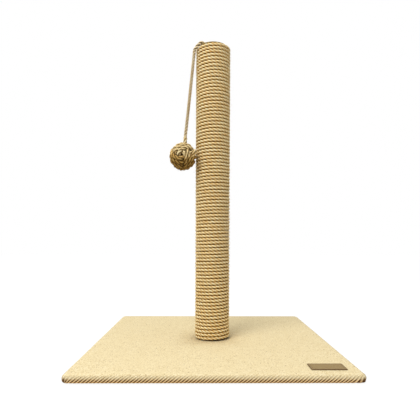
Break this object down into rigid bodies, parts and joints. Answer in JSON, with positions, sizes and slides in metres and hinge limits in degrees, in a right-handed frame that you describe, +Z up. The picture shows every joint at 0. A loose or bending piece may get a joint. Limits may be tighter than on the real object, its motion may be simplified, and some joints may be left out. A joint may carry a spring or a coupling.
{
  "type": "cat scratching post",
  "caption": "Rope-wound scratching post on a square covered base, with a knotted rope ball that hangs from its top and swings.",
  "frame": {"origin": "on the floor under the middle of the square base, which is also under the post's axis", "axes": "+Z up along the post, -Y to the front edge with the tag, +X to the right"},
  "size_m": [0.6, 0.6, 0.8079],
  "materials": {
    "fibreboard": "raw fibreboard",
    "cover_fabric": "pale cream twill of flat sisal yarn, with brown flecks",
    "lining": "thin dark non-woven cloth",
    "felt": "dense dark felt",
    "tag_leather": "khaki brown, dark edge",
    "steel": "zinc plated",
    "cardboard": "wound cardboard",
    "timber": "raw softwood",
    "cap_fabric": "olive brown woven cloth",
    "post_rope": "golden sisal rope, three strands, hairy",
    "hanging_rope": "golden sisal rope, three strands, hairy",
    "ball_rope": "golden brown sisal rope, three strands, hairy"
  },
  "bodies": {
    "stand": {"base_board": "fibreboard", "base_cover": "cover_fabric", "base_lining": "lining", "foot_pad_front_left": "felt", "foot_pad_back_left": "felt", "foot_pad_front_right": "felt", "foot_pad_back_right": "felt", "name_tag": "tag_leather", "base_bolt": "steel", "bolt_washer": "steel", "threaded_insert": "steel", "plug_screw_bottom_front": "steel", "plug_screw_bottom_back": "steel", "plug_screw_top_front": "steel", "plug_screw_top_back": "steel", "post_tube": "cardboard", "bottom_plug": "timber", "top_plug": "timber", "top_cap": "cap_fabric", "post_rope": "post_rope", "hanging_rope_start": "hanging_rope"},
    "rope_link": {"hanging_rope_link": "hanging_rope"},
    "rope_and_ball": {"hanging_rope": "hanging_rope", "toy_ball": "ball_rope", "ball_core": "timber"}
  },
  "joints": [
    {"name": "swing_out", "type": "hinge", "parent": "stand", "child": "rope_link", "pos_m": [-0.05005, -0.01822, 0.78357], "axis": [-0.342, 0.9397, 0], "range_deg": [0, 75]},
    {"name": "swing_side", "type": "hinge", "parent": "rope_link", "child": "rope_and_ball", "pos_m": [-0.05177, -0.01884, 0.76567], "axis": [-0.9348, -0.3402, 0.1019], "range_deg": [-60, 60]}
  ]
}
